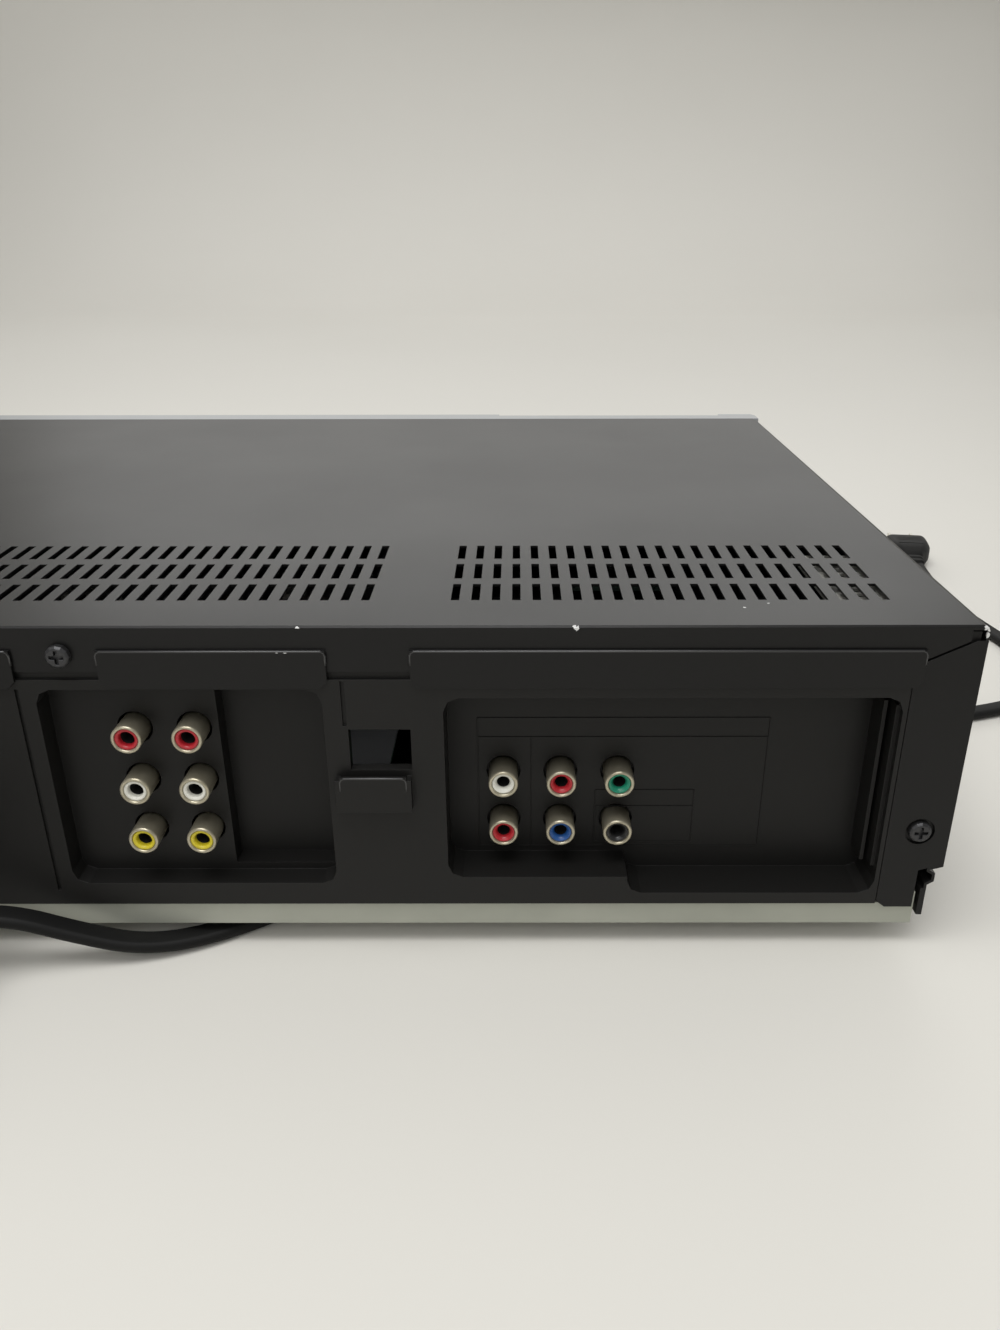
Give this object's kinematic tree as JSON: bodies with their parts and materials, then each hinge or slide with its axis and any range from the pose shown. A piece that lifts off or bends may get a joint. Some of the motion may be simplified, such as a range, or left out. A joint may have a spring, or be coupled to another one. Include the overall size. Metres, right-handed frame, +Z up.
{
  "type": "disc and cassette player",
  "caption": "combined disc and video cassette player with motor driven disc tray, cassette deck, rear jack panel and attached mains lead",
  "frame": {"origin": "on the table under the middle of the unit without its mains lead", "axes": "+X to the right seen from the front, +Y to the rear where the jacks are, +Z up"},
  "size_m": [0.5583, 0.4757, 0.099],
  "materials": {
    "cover_paint": "satin dark grey paint",
    "black_moulding": "fine textured black",
    "zinc_sheet": "galvanised sheet",
    "foot_rubber": "matt",
    "screw_steel": "blackened",
    "fascia_plastic": "silver grey",
    "window_plastic": "dark tinted",
    "board": "green laminate",
    "button_plastic": "silver grey",
    "tray_plastic": "black",
    "gear_plastic": "natural acetal",
    "motor_steel": "plated",
    "belt_rubber": "matt",
    "loader_plastic": "black",
    "bright_steel": "plated sheet",
    "rod_steel": "ground",
    "drum_alu": "turned",
    "pinch_rubber": "ground",
    "brass": "turned",
    "nickel": "nickel plated",
    "insert_red": "moulded",
    "insert_white": "moulded",
    "insert_yellow": "moulded",
    "insert_green": "moulded",
    "insert_blue": "moulded",
    "cord_rubber": "satin",
    "spring_steel": "drawn"
  },
  "bodies": {
    "unit": {"bottom_plate": "zinc_sheet", "clamp_bridge": "bright_steel", "cord_coil": "cord_rubber", "cord_gland": "cord_rubber", "cord_lead": "cord_rubber", "cord_run": "cord_rubber", "cover_screws": "screw_steel", "deck_plate": "bright_steel", "display_window": "window_plastic", "feet": "foot_rubber", "front_panel": "fascia_plastic", "holder_brackets": "bright_steel", "jack_housings": "black_moulding", "jack_inserts_blue": "insert_blue", "jack_inserts_green": "insert_green", "jack_inserts_red": "insert_red", "jack_inserts_white": "insert_white", "jack_inserts_yellow": "insert_yellow", "jack_sleeves": "nickel", "key_board": "board", "loader_frame": "loader_plastic", "lower_drum": "drum_alu", "main_board": "board", "main_chassis": "black_moulding", "mains_plug": "cord_rubber", "power_board": "board", "rear_panel": "black_moulding", "tape_heads": "motor_steel", "top_cover": "cover_paint", "tray_belt": "belt_rubber", "tray_motor": "motor_steel", "tuner_can": "zinc_sheet"},
    "tray": {"disc_tray": "tray_plastic", "tray_door": "fascia_plastic"},
    "drive_gear": {"tray_gear": "gear_plastic"},
    "drive_pulley": {"motor_pulley": "gear_plastic"},
    "traverse": {"traverse_frame": "loader_plastic", "guide_rods": "rod_steel"},
    "spindle": {"turntable": "loader_plastic"},
    "sled": {"pickup_sled": "drum_alu"},
    "lead_screw": {"feed_screw": "gear_plastic"},
    "clamp": {"disc_clamp": "gear_plastic"},
    "drum": {"upper_drum": "drum_alu"},
    "capstan_rotor": {"capstan": "brass"},
    "pinch": {"pinch_arm": "bright_steel"},
    "roller": {"pinch_roller": "pinch_rubber"},
    "supply_table": {"supply_reel": "gear_plastic"},
    "takeup_table": {"takeup_reel": "gear_plastic"},
    "supply_boat": {"supply_guide": "brass"},
    "takeup_boat": {"takeup_guide": "brass"},
    "carriage": {"holder_carriage": "bright_steel"},
    "holder": {"cassette_holder": "bright_steel"},
    "flap": {"cassette_door": "fascia_plastic", "door_spring": "spring_steel"},
    "power_button_cap": {"power_button": "button_plastic"},
    "disc_open_button_cap": {"disc_open_button": "button_plastic"},
    "rewind_button_cap": {"rewind_button": "button_plastic"},
    "tape_play_button_cap": {"tape_play_button": "button_plastic"},
    "fast_forward_button_cap": {"fast_forward_button": "button_plastic"},
    "stop_eject_button_cap": {"stop_eject_button": "button_plastic"}
  },
  "joints": [
    {"name": "tray_slide", "type": "slide", "parent": "unit", "child": "tray", "axis": [0, -1, 0], "range_m": [0, 0.145]},
    {"name": "drive_gear_spin", "type": "hinge", "parent": "unit", "child": "drive_gear", "pos_m": [-0.183, -0.112, 0.06], "axis": [0, 0, 1], "range_deg": [0, 831]},
    {"name": "drive_pulley_spin", "type": "hinge", "parent": "unit", "child": "drive_pulley", "pos_m": [-0.149, -0.112, 0.053], "axis": [0, 0, 1], "range_deg": [0, 2340]},
    {"name": "traverse_tilt", "type": "hinge", "parent": "unit", "child": "traverse", "pos_m": [-0.135, 0.041, 0.0465], "axis": [1, 0, 0], "range_deg": [0, 5.1]},
    {"name": "spindle_spin", "type": "hinge", "parent": "traverse", "child": "spindle", "pos_m": [-0.135, -0.06, 0.06], "axis": [0, 0, 1], "continuous": true},
    {"name": "sled_slide", "type": "slide", "parent": "traverse", "child": "sled", "axis": [0, 1, 0], "range_m": [0, 0.031]},
    {"name": "lead_screw_spin", "type": "hinge", "parent": "traverse", "child": "lead_screw", "pos_m": [-0.105, 0, 0.057], "axis": [0, 1, 0], "range_deg": [0, 3730]},
    {"name": "clamp_spin", "type": "hinge", "parent": "unit", "child": "clamp", "pos_m": [-0.135, -0.06, 0.075], "axis": [0, 0, 1], "continuous": true},
    {"name": "drum_spin", "type": "hinge", "parent": "unit", "child": "drum", "pos_m": [0.045, 0.066, 0.04], "axis": [0.0872, 0, 0.9962], "continuous": true},
    {"name": "capstan_spin", "type": "hinge", "parent": "unit", "child": "capstan_rotor", "pos_m": [0.107, 0.022, 0.04], "axis": [0, 0, 1], "continuous": true},
    {"name": "pinch_swing", "type": "hinge", "parent": "unit", "child": "pinch", "pos_m": [0.119, 0.0502, 0.04], "axis": [0, 0, -1], "range_deg": [0, 18.6]},
    {"name": "roller_spin", "type": "hinge", "parent": "pinch", "child": "roller", "pos_m": [0.12032, 0.02674, 0.046], "axis": [0, 0, 1], "continuous": true},
    {"name": "supply_spin", "type": "hinge", "parent": "unit", "child": "supply_table", "pos_m": [-0.001, -0.034, 0.038], "axis": [0, 0, 1], "continuous": true},
    {"name": "takeup_spin", "type": "hinge", "parent": "unit", "child": "takeup_table", "pos_m": [0.091, -0.034, 0.038], "axis": [0, 0, 1], "continuous": true},
    {"name": "supply_thread", "type": "slide", "parent": "unit", "child": "supply_boat", "axis": [-0.1961, 0.9806, 0], "range_m": [0, 0.0407]},
    {"name": "takeup_thread", "type": "slide", "parent": "unit", "child": "takeup_boat", "axis": [0.1961, 0.9806, 0], "range_m": [0, 0.0407]},
    {"name": "carriage_slide", "type": "slide", "parent": "unit", "child": "carriage", "axis": [0, 1, 0], "range_m": [0, 0.03]},
    {"name": "holder_drop", "type": "slide", "parent": "carriage", "child": "holder", "axis": [0, 0, -1], "range_m": [0, 0.021], "stiffness_N_per_m": 60, "springref_m": -0.04},
    {"name": "flap_swing", "type": "hinge", "parent": "unit", "child": "flap", "pos_m": [0.045, -0.1405, 0.0838], "axis": [-1, 0, 0], "range_deg": [-88, 0], "stiffness_Nm_per_rad": 0.003, "springref_deg": 22.92},
    {"name": "power_button_press", "type": "slide", "parent": "unit", "child": "power_button_cap", "axis": [0, 1, 0], "range_m": [0, 0.0012], "stiffness_N_per_m": 400},
    {"name": "disc_open_button_press", "type": "slide", "parent": "unit", "child": "disc_open_button_cap", "axis": [0, 1, 0], "range_m": [0, 0.0012], "stiffness_N_per_m": 400},
    {"name": "rewind_button_press", "type": "slide", "parent": "unit", "child": "rewind_button_cap", "axis": [0, 1, 0], "range_m": [0, 0.0012], "stiffness_N_per_m": 400},
    {"name": "tape_play_button_press", "type": "slide", "parent": "unit", "child": "tape_play_button_cap", "axis": [0, 1, 0], "range_m": [0, 0.0012], "stiffness_N_per_m": 400},
    {"name": "fast_forward_button_press", "type": "slide", "parent": "unit", "child": "fast_forward_button_cap", "axis": [0, 1, 0], "range_m": [0, 0.0012], "stiffness_N_per_m": 400},
    {"name": "stop_eject_button_press", "type": "slide", "parent": "unit", "child": "stop_eject_button_cap", "axis": [0, 1, 0], "range_m": [0, 0.0012], "stiffness_N_per_m": 400}
  ],
  "couplings": [
    {"joint": "drive_gear_spin", "follows": "tray_slide", "rad_per_m": 100},
    {"joint": "drive_pulley_spin", "follows": "tray_slide", "rad_per_m": 281},
    {"joint": "traverse_tilt", "follows": "tray_slide", "rad_per_m": 0.6},
    {"joint": "lead_screw_spin", "follows": "sled_slide", "rad_per_m": 2094},
    {"joint": "takeup_thread", "follows": "supply_thread", "ratio": 1}
  ]
}
